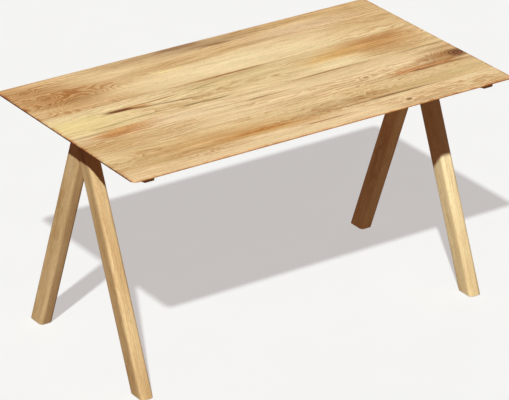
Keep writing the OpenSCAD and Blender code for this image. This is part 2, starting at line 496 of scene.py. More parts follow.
@dataclass(frozen=True)
class Timber:
    """A kind of solid wood, oiled, with its growth rings, fibres, pores and patches of colour."""

    name: str
    seed: float
    pale: Colour
    deep: Colour
    growth: Growth
    ring_tone: Colour = tone(202, 160, 112)
    ring_strength: float = 0.50
    band_strength: float = 0.50
    line_strength: float = 0.85
    fibre_strength: float = 0.40
    fleck_strength: float = 0.24
    pore_strength: float = 0.38
    gain: float = 1.17
    marks: tuple[Mark, ...] = ()
    pore_tone: Colour = tone(118, 78, 42)
    gloss: float = 0.50
    sheen: float = 0.3
    relief: float = 0.00016

    def material(
        self, along: Vector, across: Vector, level: float, edges: "Edges"
    ) -> Material:
        """Builds the material.

        Args:
            along: The direction of the grain.
            across: The direction across the grain, on the face that shows most.
            level: The height of that face along the third direction.
            edges: The edges, darker from oil and from painted shade on the rim.

        Returns:
            The material.
        """
        shade = Shade(self.name)
        place = shade.place()
        upward = along.cross(across)
        grain = shade.join(place.dot(along), place.dot(across), place.dot(upward) - level)
        figure = self._figure(shade, grain)
        colour = self._colour(shade, figure)
        colour = edges.darken(shade, place, colour)
        fibre, late, pore = figure.fibre, figure.late, figure.pore
        height = fibre * FIBRE_RISE + late * LATE_RISE - pore * PORE_SINK
        roughness = self.gloss + fibre * FIBRE_DULL + pore * PORE_DULL + late * LATE_DULL
        return shade.finish(colour, roughness, height, self.relief, Specular_IOR_Level=self.sheen)

    def _figure(self, shade: Shade, grain: Wire) -> Figure:
        """Works out what shows at each point.

        Args:
            shade: The material being built.
            grain: The place along the grain, across it and in depth.

        Returns:
            The figure.
        """
        growth = self.growth
        drift = tuple(self.seed * step for step in SEED_STEPS)
        sway = Layer.SWAY.noise(grain, drift) - 0.5
        ripple = Layer.RIPPLE.noise(grain, drift) - 0.5
        run, width, depth = shade.split(grain)
        bent_width = width + sway * growth.wander + ripple * growth.ripple
        bent_depth = depth + sway * growth.wander * 0.5 + ripple * growth.ripple * 0.5
        lift: Wire | float = 0.0
        knots = []
        for knot in growth.knots:
            offset = grain - (*knot.middle, 0.0)
            size = (1 / (knot.radius * knot.stretch), 1 / knot.radius, 0.0)
            reach = (offset * size).length() + ripple * 0.8
            lift = lift + reach.ramp(0.0, KNOT_PULL, knot.lift, 0.0)
            knots.append(reach)
        across = bent_width - growth.heart_across
        below = bent_depth + growth.heart_depth + run * growth.tilt
        ring = (across * across + below * below).root() / growth.ring_width + lift
        patchy = Layer.PATCH.noise(grain, (drift[1], drift[0], PATCH_SHIFT)).ramp(0.40, 0.62)
        gnarl = Layer.GNARL.noise(grain, drift) - 0.5
        ring = ring + gnarl * growth.burl * (0.2 + patchy)
        year = ring.fraction()
        late = year.ramp(0.20, 0.86) * year.ramp(0.88, 1.0, 1.0, 0.0)
        fine = (ring * FINE_RINGS + ripple * 2.0).fraction()
        fine = fine.ramp(0.3, 0.9) * fine.ramp(0.9, 1.0, 1.0, 0.0)
        bent = shade.join(run, bent_width, bent_depth)
        lengthwise, crosswise, rippled = SHIMMER_WAVES
        return Figure(
            run=run,
            width=width,
            bent=bent,
            late=late * LATE_SHARE + fine * FINE_SHARE,
            cloud=Layer.CLOUD.noise(bent, drift),
            fibre=Layer.FIBRE.noise(bent, drift),
            line=Layer.LINE.noise(bent, drift),
            band=Layer.BAND.noise(bent, drift),
            fleck=Layer.FLECK.noise(bent, drift).ramp(0.60, 0.76),
            patchy=patchy,
            pore=Layer.PORE.noise(bent, drift).ramp(0.60, 0.70),
            shimmer=(run * lengthwise + width * crosswise + ripple * rippled).sine(),
            knots=tuple(knots),
        )

    def _colour(self, shade: Shade, figure: Figure) -> Wire:
        """Colours the figure.

        Args:
            shade: The material being built.
            figure: What shows at each point.

        Returns:
            The colour.
        """
        colour = shade.mix(figure.cloud.ramp(0.30, 0.70), self.pale, self.deep)
        curl: Wire | float = 0.0
        lively: Wire | float = 1.0
        for mark in self.marks:
            share = self._share(shade, figure, mark)
            colour = shade.mix(share * mark.strength, colour, mark.colour)
            if mark.curl:
                curl = curl + share * figure.shimmer * mark.curl
            if mark.calm:
                lively = lively - share * mark.calm
        rings = figure.late * (0.25 + figure.patchy) * lively * self.ring_strength
        colour = shade.mix(rings, colour, self.ring_tone, "MULTIPLY")
        light = self.gain + (figure.fibre - 0.5) * self.fibre_strength
        light = light + (figure.line - 0.5) * self.line_strength
        light = light + (figure.band - 0.5) * self.band_strength
        light = light - figure.fleck * self.fleck_strength + curl
        red = light * RED_SWING + (1 - RED_SWING) * self.gain
        blue = light * BLUE_SWING + (1 - BLUE_SWING) * self.gain
        colour = colour * shade.join(red, light, blue)
        for knot, reach in zip(self.growth.knots, figure.knots, strict=True):
            colour = self._knotted(shade, colour, knot, reach)
        return shade.mix(figure.pore * self.pore_strength, colour, self.pore_tone, "MULTIPLY")

    def _share(self, shade: Shade, figure: Figure, mark: Mark) -> Wire:
        """How much of a mark there is at each point.

        Args:
            shade: The material being built.
            figure: What shows at each point.
            mark: The mark.

        Returns:
            The share, from 0 to 1.
        """
        brush = mark.kind.value
        turn = math.radians(mark.turn)
        plain = shade.join(figure.run, figure.width, 0.0)
        where = plain + (figure.bent - plain) * (0.0, brush.follow * 0.6, 0.0)
        offset = where - (mark.along, mark.across, 0.0)
        cosine, sine = math.cos(turn), math.sin(turn)
        run = offset.dot((cosine / mark.half_length, sine / mark.half_length, 0.0))
        width = offset.dot((-sine / mark.half_width, cosine / mark.half_width, 0.0))
        reach = (run * run + width * width).root()
        reach = reach + (figure.line - 0.5) * brush.fray
        reach = reach + (figure.band - 0.5) * brush.fray * 0.8
        return reach.ramp(1.0 - brush.softness, 1.0 + brush.softness, 1.0, 0.0)

    def _knotted(self, shade: Shade, colour: Wire, knot: Knot, reach: Wire) -> Wire:
        """Lays a knot over the colour, with its own rings around a dark middle.

        Args:
            shade: The material being built.
            colour: The colour so far.
            knot: The knot.
            reach: How far a point is from its middle, in its radii.

        Returns:
            The colour with the knot.
        """
        rings = (reach * KNOT_WAVES).sine() * 0.5 + 0.5
        body = reach.ramp(0.7, 1.5, knot.strength, 0.0) * (0.45 + rings * 0.55)
        core = reach.ramp(0.15, 0.65, knot.strength, 0.0)
        colour = shade.mix(body, colour, knot.heart, "MULTIPLY")
        return shade.mix(core, colour, knot.heart)


@dataclass(frozen=True)
class Edges:
    """The edges of a piece, darker than its faces from the oil they have taken up and from painted
    shade on the lower side of the rim, with widths in metres.
    """

    box: Box
    # The end and side colours stand partly for oil soaked into the rim and partly for painted shade
    # on it.
    ends: Colour = tone(116, 72, 48)
    sides: Colour = tone(206, 172, 138)
    margin: float = 0.0040
    crisp: float = 0.0004
    # Below this depth under the top the rim darkens fully, and it eases to upper_share at its top:
    # painted shade on the rim's lower side.
    lower: float = 0.0034
    upper_share: float = 0.45
    rim_share: float = 1.0
    soak: float = 0.013
    side_soak: float = 0.45
    wet_share: float = 0.8
    wet_waves: Point = (38.0, 38.0, 20.0)
    wet_tone: Colour = tone(214, 150, 100)
    joints: tuple[float, ...] = ()
    joint_reach: tuple[float, float] = (0.0001, 0.0007)
    joint_share: float = 0.6
    joint_tone: Colour = tone(132, 96, 60)

    def darken(self, shade: Shade, place: Wire, colour: Wire) -> Wire:
        """Darkens the edges, for oil in the rim and for painted shade that is strongest on the
        rim's lower side.

        Args:
            shade: The material being built.
            place: The place in the table's frame.
            colour: The colour so far.

        Returns:
            The colour with darker edges.
        """
        x, y, z = shade.split(place)
        low, high = self.box
        half_x, half_y = (high.x - low.x) / 2, (high.y - low.y) / 2
        from_x, from_y = abs(x - (low.x + high.x) / 2), abs(y - (low.y + high.y) / 2)
        # Painted shade: the rim's darkening is full on its lower side and weaker at its top.
        below = z.ramp(high.z - self.lower, high.z - self.crisp, 1.0, self.upper_share)
        for reach, half, stain_and_shade in ((from_y, half_y, self.sides), (from_x, half_x, self.ends)):
            share = reach.ramp(half - self.margin, half - self.crisp, 0.0, self.rim_share)
            colour = shade.mix(share * below, colour, stain_and_shade, "MULTIPLY")
        if self.rim_share:
            wet = shade.noise(place * self.wet_waves, 3.0, 0.6, 0.6).ramp(0.40, 0.60)
            side = from_y.ramp(half_y - self.soak, half_y) * self.side_soak
            near = from_x.ramp(half_x - self.soak, half_x).at_least(side)
            colour = shade.mix(near * wet * self.wet_share, colour, self.wet_tone, "MULTIPLY")
        for joint in self.joints:
            share = abs(y - joint).ramp(*self.joint_reach, self.joint_share, 0.0)
            colour = shade.mix(share, colour, self.joint_tone, "MULTIPLY")
        return colour


@dataclass(frozen=True)
class Metal:
    """A turned or plated metal."""

    name: str
    colour: Colour
    worn: Colour
    roughness: float
    metallic: float = 1.0
    turning: Point = (180.0, 180.0, 2600.0)
    staining: float = 320.0
    relief: float = 0.00002

    def material(self) -> Material:
        """Builds the material.

        Returns:
            The material.
        """
        shade = Shade(self.name)
        place = shade.place()
        turned = shade.noise(place * self.turning, 2.0, 0.6)
        stain_and_shade = shade.noise(place * self.staining, 3.0, 0.6)
        colour = shade.mix(stain_and_shade.ramp(0.35, 0.75), self.colour, self.worn)
        roughness = self.roughness + (turned - 0.5) * 0.18 + (stain_and_shade - 0.5) * 0.12
        return shade.finish(colour, roughness, turned, self.relief, Metallic=self.metallic)


@dataclass(frozen=True)
class Plastic:
    """A moulded plastic with a fine grain and a few scuffs."""

    name: str
    colour: Colour
    scuffed: Colour
    roughness: float = 0.48
    graining: float = 2400.0
    scuffing: Point = (900.0, 70.0, 200.0)
    relief: float = 0.00004

    def material(self) -> Material:
        """Builds the material.

        Returns:
            The material.
        """
        shade = Shade(self.name)
        place = shade.place()
        grain = shade.noise(place * self.graining, 2.0, 0.6)
        scuff = shade.noise(place * self.scuffing, 4.0, 0.7).ramp(0.56, 0.72)
        colour = shade.mix(scuff * 0.6, self.colour, self.scuffed)
        roughness = self.roughness + grain * 0.1 + scuff * 0.15
        return shade.finish(colour, roughness, grain - scuff * 0.3, self.relief)


# ---- mesh work


def block(low: Sequence[float], high: Sequence[float]) -> Mesh:
    """Makes a box between two corners.

    Args:
        low: The lowest corner.
        high: The highest corner.

    Returns:
        The box.
    """
    mesh = bmesh.new()
    bmesh.ops.create_cube(mesh, size=1.0)
    size = Vector(high) - Vector(low)
    bmesh.ops.scale(mesh, verts=mesh.verts, vec=size)
    bmesh.ops.translate(mesh, verts=mesh.verts, vec=(Vector(low) + Vector(high)) / 2)
    return mesh


def rising(mesh: Mesh, least: float) -> list[Edge]:
    """The edges whose two ends differ in height by more than the least."""
    return [edge for edge in mesh.edges if abs(edge.verts[0].co.z - edge.verts[1].co.z) > least]


def round_edges(mesh: Mesh, edges: Iterable[Edge], radius: float, segments: int) -> None:
    """Rounds some edges.

    Args:
        mesh: The mesh.
        edges: The edges.
        radius: How far the rounding reaches from each edge.
        segments: How many strips the rounding has.
    """
    bmesh.ops.bevel(
        mesh,
        geom=list(edges),
        offset=radius,
        offset_type="OFFSET",
        affect="EDGES",
        segments=segments,
        profile=0.5,
        material=-1,
        clamp_overlap=False,
    )


def saw(mesh: Mesh, point: Sequence[float], waste: Sequence[float]) -> list[bmesh.types.BMFace]:
    """Saws a mesh through, throws the waste away and closes the cut.

    Args:
        mesh: The mesh.
        point: A point on the cut.
        waste: The direction in which the waste lies.

    Returns:
        The faces that close the cut.
    """
    whole = [*mesh.verts, *mesh.edges, *mesh.faces]
    cut = bmesh.ops.bisect_plane(
        mesh, geom=whole, dist=1e-7, plane_co=point, plane_no=waste, clear_outer=True
    )
    edges = [part for part in cut["geom_cut"] if isinstance(part, Edge)]
    return bmesh.ops.holes_fill(mesh, edges=edges, sides=0)["faces"]


def add_post(
    mesh: Mesh, foot: Sequence[float], height: float, radius: float, travel: float = 0.0
) -> None:
    """Adds an upright round post, or one drawn out across the table as a slot is.

    Args:
        mesh: The mesh that gets the post.
        foot: The middle of its lower end.
        height: Its height.
        radius: Its radius.
        travel: How far it is drawn out.
    """
    segments = 48
    turn = Matrix.Rotation(math.pi / segments, 3, "Z")
    made = bmesh.ops.create_cone(
        mesh, cap_ends=True, segments=segments, radius1=radius, radius2=radius, depth=height
    )["verts"]
    bmesh.ops.rotate(mesh, verts=made, matrix=turn)
    for sign in (-1, 1):
        half = [vertex for vertex in made if vertex.co.y * sign > 0]
        bmesh.ops.translate(mesh, verts=half, vec=(0, sign * travel / 2, 0))
    bmesh.ops.translate(mesh, verts=made, vec=Vector(foot) + Vector((0, 0, height / 2)))


def merge_in(mesh: Mesh, other: Mesh) -> None:
    """Adds a copy of another mesh, and frees that one.

    Args:
        mesh: The mesh that grows.
        other: The mesh that is used up.
    """
    spare = bpy.data.meshes.new("spare")
    other.to_mesh(spare)
    other.free()
    mesh.from_mesh(spare)
    bpy.data.meshes.remove(spare)


def islands(node: str) -> list[Box]:
    """Finds the separate solids of a CAD node.

    Args:
        node: The node's name.

    Returns:
        Each solid's lowest and highest corner, from front to rear.
    """
    mesh = bmesh.new()
    mesh.from_mesh(bpy.data.objects[node].data)
    bmesh.ops.remove_doubles(mesh, verts=mesh.verts, dist=1e-6)
    unseen = set(mesh.verts)
    boxes = []
    while unseen:
        group = [unseen.pop()]
        for vertex in group:
            near = {edge.other_vert(vertex) for edge in vertex.link_edges} & unseen
            unseen -= near
            group.extend(near)
        low = Vector(min(vertex.co[axis] for vertex in group) for axis in range(3))
        high = Vector(max(vertex.co[axis] for vertex in group) for axis in range(3))
        boxes.append((low, high))
    mesh.free()
    return sorted(boxes, key=lambda box: (box[0].y, box[0].x))


def set_down(name: str, data: bpy.types.ID) -> Thing:
    """Puts a new object into the scene.

    Args:
        name: Its name.
        data: What it holds.

    Returns:
        The object.
    """
    thing = bpy.data.objects.new(name, data)
    bpy.context.scene.collection.objects.link(thing)
    return thing


def set_down_mesh(name: str, mesh: Mesh) -> Thing:
    """Turns a mesh into an object in the scene, and frees it.

    Args:
        name: The object's name.
        mesh: The mesh.

    Returns:
        The object.
    """
    data = bpy.data.meshes.new(name)
    mesh.to_mesh(data)
    mesh.free()
    return set_down(name, data)


def middle(box: Box) -> Vector:
    """The middle of a box."""
    return (box[0] + box[1]) / 2


@dataclass
class Piece:
    """One finished piece of the table."""

    name: str
    mesh: Mesh
    slot: str
    material: Material
    replaces: tuple[str, ...]
    added: Mesh | None = None
    removed: Mesh | None = None
    sharp_angle: float = 32.0

    def build(self) -> Thing:
        """Makes the object, joins what is added, cuts what is removed, and hangs it on the frame.

        Returns:
            The object.
        """
        bmesh.ops.recalc_face_normals(self.mesh, faces=self.mesh.faces)
        thing = set_down_mesh(self.name, self.mesh)
        if self.added is not None:
            self._combine(thing, self.added, "UNION")
        if self.removed is not None:
            self._combine(thing, self.removed, "DIFFERENCE")
        thing.data.materials.clear()
        thing.data.materials.append(self.material)
        thing.data.polygons.foreach_set("use_smooth", [True] * len(thing.data.polygons))
        thing.data.set_sharp_from_angle(angle=math.radians(self.sharp_angle))
        weigh = thing.modifiers.new("even_shading", "WEIGHTED_NORMAL")
        weigh.mode = "FACE_AREA"
        weigh.weight = 100
        weigh.keep_sharp = True
        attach(thing, BODY)
        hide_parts(*self.replaces)
        faces = len(thing.data.polygons)
        LOG.info("%s: %d faces, for %s", self.name, faces, ", ".join(self.replaces))
        return thing

    def _combine(self, thing: Thing, tool: Mesh, operation: str) -> None:
        """Joins a second shape to an object, or cuts it out.

        Args:
            thing: The object, whose mesh changes.
            tool: The second shape, which is used up.
            operation: UNION or DIFFERENCE.
        """
        bmesh.ops.recalc_face_normals(tool, faces=tool.faces)
        cutter = set_down_mesh("cutter", tool)
        step = thing.modifiers.new("step", "BOOLEAN")
        step.operation = operation
        step.solver = "EXACT"
        step.object = cutter
        graph = bpy.context.evaluated_depsgraph_get()
        shaped = bpy.data.meshes.new_from_object(thing.evaluated_get(graph))
        thing.modifiers.clear()
        spare = thing.data
        thing.data = shaped
        bpy.data.meshes.remove(spare)
        shaped.name = thing.name
        cut_mesh = cutter.data
        bpy.data.objects.remove(cutter)
        bpy.data.meshes.remove(cut_mesh)


# ---- the table


@dataclass
class TableTop:
    """The top: boards glued edge to edge, with a round thin rim and a bevelled underside."""

    woods: tuple[Timber, ...]
    rim_radius: float = 0.004
    bevel_width: float = 0.030
    corner_radius: float = 0.020
    corner_strips: int = 10
    rim_strips: int = 5
    rim_share: float = 0.97
    hole_room: float = 0.00005
    hole_extra: float = 0.0015
    skin: float = 0.000005
    box: Box = field(init=False)

    def __post_init__(self) -> None:
        """Takes the size of the top from the frame's boards."""
        boxes = [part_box(self.node(place)) for place in range(len(self.woods))]
        inward = Vector((self.skin, self.skin, 0))
        low = Vector(min(box[0][axis] for box in boxes) for axis in range(3)) + inward
        high = Vector(max(box[1][axis] for box in boxes) for axis in range(3)) - inward
        self.box = (low, high)

    def node(self, place: int) -> str:
        """The frame's name for a board, counted from the rear."""
        return f"top_board_{place + 1}"

    def build(self) -> None:
        """Makes every board."""
        holes = [box for side in Side for box in islands(f"{side.name.lower()}_threaded_inserts")]
        reach = self.box[1].y - self.corner_radius
        for place, wood in enumerate(self.woods):
            low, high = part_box(self.node(place))
            board = self.slab()
            if low.y > -reach:
                saw(board, low, (0, -1, 0))
            if high.y < reach:
                saw(board, high, (0, 1, 0))
            mine = [hole for hole in holes if low.y < middle(hole).y < high.y]
            drill = bmesh.new() if mine else None
            for hole in mine:
                foot = middle(hole)
                foot.z = low.z - self.hole_extra
                deep = hole[1].z - low.z + 2 * self.hole_extra
                add_post(drill, foot, deep, (hole[1].x - hole[0].x) / 2 + self.hole_room)
            joints = tuple(y for y in (low.y, high.y) if abs(y) < reach)
            Piece(
                name=f"plank_{place + 1}",
                mesh=board,
                slot="top_wood",
                material=wood.material(ALONG, ACROSS, high.z, Edges(self.box, joints=joints)),
                replaces=(self.node(place),),
                removed=drill,
            ).build()

    def slab(self) -> Mesh:
        """Makes the whole top in one piece.

        Returns:
            The slab, with its rim, its corners and the bevel under its edges.
        """
        low, high = self.box
        thickness = high.z - low.z
        nose = Vector((self.bevel_width - self.rim_radius, thickness - self.rim_radius))
        slope = math.atan2(nose.y, nose.x) - math.asin(self.rim_radius / nose.length)
        lower_reach = self.rim_radius * math.tan((math.pi / 2 - slope) / 2)
        rim_height = self.rim_radius + lower_reach
        mesh = block((low.x, low.y, high.z - rim_height), high)
        under = min(mesh.faces, key=lambda face: face.calc_center_median().z)
        inward = {"thickness": self.bevel_width, "use_even_offset": True}
        bmesh.ops.inset_region(mesh, faces=[under], **inward)
        bmesh.ops.translate(mesh, verts=under.verts, vec=(0, 0, rim_height - thickness))
        round_edges(mesh, rising(mesh, 1e-6), self.corner_radius, self.corner_strips)
        for height, reach in ((high.z, self.rim_radius), (high.z - rim_height, lower_reach)):
            ring = [
                edge
                for edge in mesh.edges
                if all(abs(vertex.co.z - height) < 1e-5 for vertex in edge.verts)
                and len(edge.link_faces) == 2
            ]
            round_edges(mesh, ring, reach * self.rim_share, self.rim_strips)
        return mesh


@dataclass
class Trestle:
    """One A-frame: a head rail and two legs, mitred together and tenoned into it."""

    side: Side
    leg_width: float = 0.065
    edge_radius: float = 0.012
    edge_strips: int = 8
    head_offset: float = 0.016
    tenon_thickness: float = 0.014
    tenon_near: float = 0.010
    tenon_width: float = 0.028
    rail_tip: float = 0.009
    rail_taper: float = 0.120
    slot_travel: float = 0.006
    room: float = 0.0005
    glue_gap: float = 0.0001
    arris: float = 0.0008
    arris_strips: int = 2
    rail_edge: float = 0.003
    rail_strips: int = 4
    shank_radius: float = 0.003
    overlap: float = 0.001
    beyond: float = 0.01
    tenon_root: float = 0.004

    @property
    def label(self) -> str:
        """The trestle's name in the frame."""
        return self.side.name.lower()

    @property
    def rail_box(self) -> Box:
        """The rail's box."""
        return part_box(f"{self.label}_rail")

    def build(self) -> None:
        """Makes the rail and both legs."""
        self.rail()
        for face in Face:
            self.leg(face)

    def rail(self) -> None:
        """Makes the head rail, with its tapered ends, its screw holes and its mortises."""
        low, high = self.rail_box
        mesh = block(low, high)
        for sign in (-1, 1):
            end = Vector((low.x, sign * high.y, high.z - self.rail_tip))
            start = Vector((low.x, sign * (high.y - self.rail_taper), low.z))
            along = end - start
            saw(mesh, start, (0, sign * along.z, -sign * along.y))
        lower = [
            edge
            for edge in mesh.edges
            if not all(abs(vertex.co.z - high.z) < 1e-6 for vertex in edge.verts)
            and len({round(vertex.co.x, 5) for vertex in edge.verts}) == 1
        ]
        round_edges(mesh, lower, self.rail_edge, self.rail_strips)
        plain = Edges(self.rail_box, rim_share=0.0)
        Piece(
            name=f"{self.label}_head_rail",
            mesh=mesh,
            slot="trestle_wood",
            material=RAIL_WOODS[self.side].material(ACROSS, ALONG, low.z, plain),
            replaces=(f"{self.label}_rail",),
            removed=self._rail_holes(),
        ).build()

    def _rail_holes(self) -> Mesh:
        """Makes what is cut out of the rail: screw holes, counterbores and mortises.

        Returns:
            The cutting shapes.
        """
        low, high = self.rail_box
        tool = bmesh.new()
        screws = islands(f"{self.label}_rail_screws")
        washers = islands(f"{self.label}_washers")
        reach = max(abs(middle(box).y) for box in screws)
        for screw, washer in zip(screws, washers, strict=True):
            at = middle(washer)
            travel = self.slot_travel if abs(at.y) > reach - self.overlap else 0.0
            bore = (washer[1].x - washer[0].x) / 2 + self.room
            shank = self.shank_radius + self.room
            seat = washer[1].z
            foot = low.z - self.beyond
            add_post(tool, (at.x, at.y, foot), seat - low.z + self.beyond, bore, travel)
            foot = seat - self.overlap
            add_post(tool, (at.x, at.y, foot), high.z - seat + self.beyond, shank, travel)
        for face in Face:
            merge_in(tool, self._tenon(face, self.glue_gap))
        return tool

    def _tenon(self, face: Face, gap: float) -> Mesh:
        """Makes the stub tenon of one leg, or with a gap the mortise for it.

        Args:
            face: Which leg.
            gap: How much it is grown all round.

        Returns:
            The tenon.
        """
        low, high = self.rail_box
        x = (low.x + high.x) / 2
        near, far = self.tenon_near, self.tenon_near + self.tenon_width
        span = sorted((face.value * (near - gap), face.value * (far + gap)))
        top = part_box(f"{self.label}_{face.name.lower()}_leg")[1].z + 10 * gap
        half = self.tenon_thickness / 2 + gap
        return block((x - half, span[0], low.z - self.tenon_root), (x + half, span[1], top))

    def leg(self, face: Face) -> None:
        """Makes one leg: a rounded bar, sawn level at the floor and the rail, and mitred.

        Args:
            face: Which leg.
        """
        node = f"{self.label}_{face.name.lower()}_leg"
        low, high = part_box(node)
        rail_z = self.rail_box[0].z
        foot = middle(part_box(f"{self.label}_{face.name.lower()}_glide"))
        x = (low.x + high.x) / 2
        splay = math.atan2(abs(foot.y) - self.head_offset, rail_z)
        half = Vector(((high.x - low.x) / 2, self.leg_width / 2, 0))
        spare = self.leg_width
        length = rail_z / math.cos(splay) + spare
        mesh = block((-half.x, -half.y, -spare), (half.x, half.y, length))
        round_edges(mesh, rising(mesh, spare), self.edge_radius, self.edge_strips)
        bmesh.ops.rotate(mesh, verts=mesh.verts, matrix=Matrix.Rotation(face.value * splay, 3, "X"))
        bmesh.ops.translate(mesh, verts=mesh.verts, vec=(x, foot.y, 0))
        cuts = saw(mesh, (0, 0, low.z), (0, 0, -1))
        saw(mesh, (0, 0, rail_z), (0, 0, 1))
        cuts += saw(mesh, (0, 0, 0), (0, -face.value, 0))
        edges = {edge for cut in cuts if cut.is_valid for edge in cut.edges}
        round_edges(mesh, edges, self.arris, self.arris_strips)
        along = Vector((0.0, -face.value * math.sin(splay), math.cos(splay)))
        across = Vector((0.0, math.cos(splay), face.value * math.sin(splay)))
        wood = LEG_WOODS[self.side, face]
        finish = wood.material(along, across, x + half.x, Edges((low, high), rim_share=0.0))
        Piece(
            name=f"{self.label}_{face.name.lower()}_bar",
            mesh=mesh,
            slot="trestle_wood",
            material=finish,
            replaces=(node,),
            added=self._tenon(face, 0.0),
        ).build()


# ---- the studio


@dataclass(frozen=True)
class Lamp:
    """One light: a sun some degrees across, or a panel of a size in metres."""

    name: str
    energy: float
    colour: Colour
    place: Point
    aim: Point = (0.0, 0.0, 0.4)
    degrees: float = 0.0
    panel: tuple[float, float] | None = None
    sheen: bool = False

    def hang(self) -> None:
        """Hangs the light; without sheen it doesn't show in the gloss of the wood."""
        light = bpy.data.lights.new(self.name, "AREA" if self.panel else "SUN")
        if self.panel:
            light.shape = "RECTANGLE"
            light.size, light.size_y = self.panel
        else:
            light.angle = math.radians(self.degrees)
        light.energy = self.energy
        light.color = self.colour
        hung = set_down(self.name, light)
        hung.visible_glossy = self.sheen
        place = Vector(self.place)
        turn = (place - Vector(self.aim)).to_track_quat("Z", "Y").to_matrix().to_4x4()
        hung.matrix_world = Matrix.Translation(place) @ turn


LAMPS = (
    Lamp("key", 3.84, (0.91, 0.985, 1.0), (-2.12, -2.58, 4.0), degrees=1.6, sheen=True),
    Lamp("fill", 0.06, (1.0, 0.88, 0.66), (1.8, -4.6, 0.9), degrees=30.0),
    Lamp("back", 0.75, (1.0, 0.95, 0.90), (4.5, 4.5, 0.65), degrees=25.0),
    Lamp("bounce", 4.5, (1.0, 0.86, 0.60), (0.2, -0.2, -1.5), (0.2, -0.2, 0.4), panel=(4.0, 3.0)),
)


@dataclass
class Studio:
    """The pale floor, the soft lights and the camera, with its angles in degrees."""

    target: Point = (-0.06914, -0.09383, 0.42647)
    azimuth: float = -33.435
    elevation: float = 25.103
    roll: float = -0.329
    distance: float = 10.145
    lens: float = 232.40
    sensor: float = 36.0
    floor_reach: float = 30.0
    floor_roughness: float = 0.9
    floor_glow: float = 0.5
    floor_colour: Colour = (1.0, 0.995, 0.985)
    room_strength: float = 0.115
    room_colour: Colour = (1.0, 0.50, 0.38)

    def build(self) -> None:
        """Makes the floor, the lights and the camera."""
        self.floor()
        self.lights()
        self.camera()

    def camera(self) -> None:
        """Makes the camera."""
        azimuth, elevation, roll = map(math.radians, (self.azimuth, self.elevation, self.roll))
        flat = math.cos(elevation)
        back = Vector((math.sin(azimuth) * flat, -math.cos(azimuth) * flat, math.sin(elevation)))
        level = Vector((0, 0, 1)).cross(back).normalized()
        upright = back.cross(level)
        right = math.cos(roll) * level + math.sin(roll) * upright
        up = math.cos(roll) * upright - math.sin(roll) * level
        data = bpy.data.cameras.new("camera")
        data.sensor_fit = "HORIZONTAL"
        data.sensor_width = self.sensor
        data.lens = self.lens
        data.clip_end = 2 * self.floor_reach
        camera = set_down("camera", data)
        stand = Matrix.Translation(Vector(self.target) + back * self.distance)
        camera.matrix_world = stand @ Matrix((right, up, back)).transposed().to_4x4()
        bpy.context.scene.camera = camera

    def floor(self) -> None:
        """Makes the floor."""
        mesh = bmesh.new()
        bmesh.ops.create_grid(mesh, x_segments=1, y_segments=1, size=self.floor_reach)
        floor = set_down_mesh("floor", mesh)
        shade = Shade("studio_floor")
        speck = shade.noise(shade.place() * 3.0, 2.0)
        colour = shade.mix(speck, tone(174, 173, 171), tone(178, 177, 175))
        shade.surface.inputs["Emission Color"].default_value = (*self.floor_colour, 1.0)
        matt = {"Specular_IOR_Level": 0.0, "Emission_Strength": self.floor_glow}
        floor.data.materials.append(shade.finish(colour, self.floor_roughness, **matt))
        floor.visible_diffuse = floor.visible_glossy = floor.visible_shadow = False
        floor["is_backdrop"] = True

    def lights(self) -> None:
        """Hangs the lights, and gives the room its even light."""
        for lamp in LAMPS:
            lamp.hang()
        world = bpy.data.worlds.new("room")
        world.use_nodes = True
        ground = world.node_tree.nodes["Background"]
        ground.inputs["Color"].default_value = (*self.room_colour, 1.0)
        ground.inputs["Strength"].default_value = self.room_strength
        bpy.context.scene.world = world
        bpy.context.scene.view_settings.view_transform = "Standard"


# ---- the boards' wood

HEART = tone(186, 140, 84)
BROWN = tone(170, 118, 64)
ORANGE = tone(203, 148, 84)
AMBER = tone(188, 128, 66)
OLIVE = tone(210, 184, 130)
MOSS = tone(160, 136, 84)
CREAM = tone(240, 216, 168)
BUTTER = tone(238, 214, 150)
PINK = tone(230, 200, 162)
TAN = tone(208, 172, 118)
GREY = tone(180, 148, 110)
UMBER = tone(118, 68, 34)

# The makers of marks: each takes a place and half a size along and across the grain, in metres.
cloud, patch, streak, seam = (partial(Mark, kind) for kind in MarkKind)


def plank(
    number: int,
    pale: Colour,
    deep: Colour,
    growth: Growth,
    ring_strength: float,
    *marks: Mark,
) -> Timber:
    """The wood of one board of the top, with its number, from the rear, as its seed."""
    wood = {"ring_strength": ring_strength, "marks": marks}
    return Timber(f"plank_wood_{number}", float(number), pale, deep, growth, **wood)


